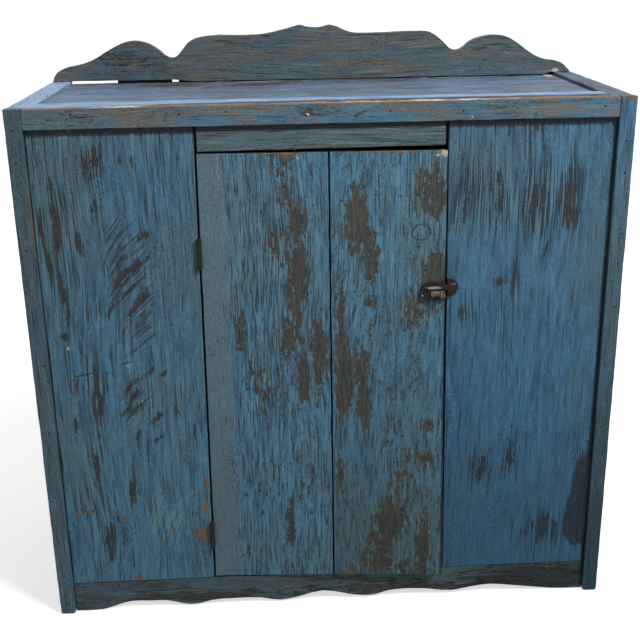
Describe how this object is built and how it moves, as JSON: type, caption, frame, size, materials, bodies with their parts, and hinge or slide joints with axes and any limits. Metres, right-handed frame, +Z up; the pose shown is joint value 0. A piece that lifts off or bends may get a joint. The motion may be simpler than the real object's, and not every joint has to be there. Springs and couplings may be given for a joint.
{
  "type": "board cupboard",
  "caption": "Low painted board cupboard with a batten door on butt hinges, an iron slide latch, a scalloped apron and a scroll-cut gallery board.",
  "frame": {"origin": "on the floor, under the middle of the whole cupboard's bounding box", "axes": "+Z up, the front with the door faces -Y, +X to the right seen from the front"},
  "size_m": [1.118, 0.4584, 1.1422],
  "materials": {
    "side_paint": "old worn paint over wood, matt",
    "left_stile_paint": "old worn paint over wood, matt",
    "right_stile_paint": "old worn paint over wood, matt",
    "fascia_paint": "old worn paint over wood, matt",
    "apron_paint": "old worn paint over wood, matt",
    "left_board_paint": "old worn paint over wood, matt",
    "right_board_paint": "old worn paint over wood, matt",
    "header_paint": "old worn paint over wood, matt",
    "door_left_paint": "old worn paint over wood, matt",
    "door_right_paint": "old worn paint over wood, matt",
    "top_panel_paint": "old worn paint over wood, matt",
    "top_strip_paint": "old worn paint over wood, matt",
    "gallery_paint": "old worn paint over wood, matt",
    "inner_wood": "bare old boards, dry and dull",
    "back_wood": "bare old boards, dry and dull",
    "batten_wood": "bare old boards, dry and dull",
    "hinge_iron": "dark, dull and a little rusty",
    "latch_iron": "dark, dull and a little rusty",
    "screw_iron": "dark, dull and a little rusty"
  },
  "bodies": {
    "case": {"left_side": "side_paint", "right_side": "side_paint", "left_stile": "left_stile_paint", "right_stile": "right_stile_paint", "top_fascia": "fascia_paint", "front_apron": "apron_paint", "left_front_board": "left_board_paint", "right_front_board": "right_board_paint", "header_rail": "header_paint", "floor_board": "inner_wood", "lower_shelf": "inner_wood", "upper_shelf": "inner_wood", "top_front_rail": "inner_wood", "top_back_rail": "inner_wood", "top_left_cleat": "inner_wood", "top_right_cleat": "inner_wood", "floor_left_cleat": "inner_wood", "floor_right_cleat": "inner_wood", "lower_shelf_left_cleat": "inner_wood", "lower_shelf_right_cleat": "inner_wood", "upper_shelf_left_cleat": "inner_wood", "upper_shelf_right_cleat": "inner_wood", "left_top_strip": "top_strip_paint", "right_top_strip": "top_strip_paint", "front_top_strip": "top_strip_paint", "top_panel": "top_panel_paint", "gallery_board": "gallery_paint", "back_board_1": "back_wood", "back_board_2": "back_wood", "back_board_3": "back_wood", "back_board_4": "back_wood", "back_board_5": "back_wood", "upper_hinge_case_leaf": "hinge_iron", "upper_hinge_pin": "hinge_iron", "upper_hinge_case_leaf_lower_screw": "screw_iron", "upper_hinge_case_leaf_upper_screw": "screw_iron", "lower_hinge_case_leaf": "hinge_iron", "lower_hinge_pin": "hinge_iron", "lower_hinge_case_leaf_lower_screw": "screw_iron", "lower_hinge_case_leaf_upper_screw": "screw_iron", "latch_keeper": "latch_iron", "keeper_lower_screw": "screw_iron", "keeper_upper_screw": "screw_iron"},
    "door": {"door_left_board": "door_left_paint", "door_right_board": "door_right_paint", "upper_batten": "batten_wood", "lower_batten": "batten_wood", "upper_hinge_door_leaf": "hinge_iron", "upper_hinge_door_leaf_lower_screw": "screw_iron", "upper_hinge_door_leaf_upper_screw": "screw_iron", "lower_hinge_door_leaf": "hinge_iron", "lower_hinge_door_leaf_lower_screw": "screw_iron", "lower_hinge_door_leaf_upper_screw": "screw_iron", "latch_case": "latch_iron", "latch_screw_1": "screw_iron", "latch_screw_2": "screw_iron", "latch_screw_3": "screw_iron", "latch_spring": "screw_iron"},
    "latch_bolt": {"latch_bolt": "latch_iron"}
  },
  "joints": [
    {"name": "door_hinge", "type": "hinge", "parent": "case", "child": "door", "pos_m": [-0.23947, -0.20725, 0.17], "axis": [-0.009, 0, -1], "range_deg": [0, 170]},
    {"name": "bolt_slide", "type": "slide", "parent": "door", "child": "latch_bolt", "axis": [1, 0, 0], "range_m": [-0.008, 0], "stiffness_N_per_m": 150, "springref_m": 0.01, "deforming": ["latch_spring"]}
  ]
}
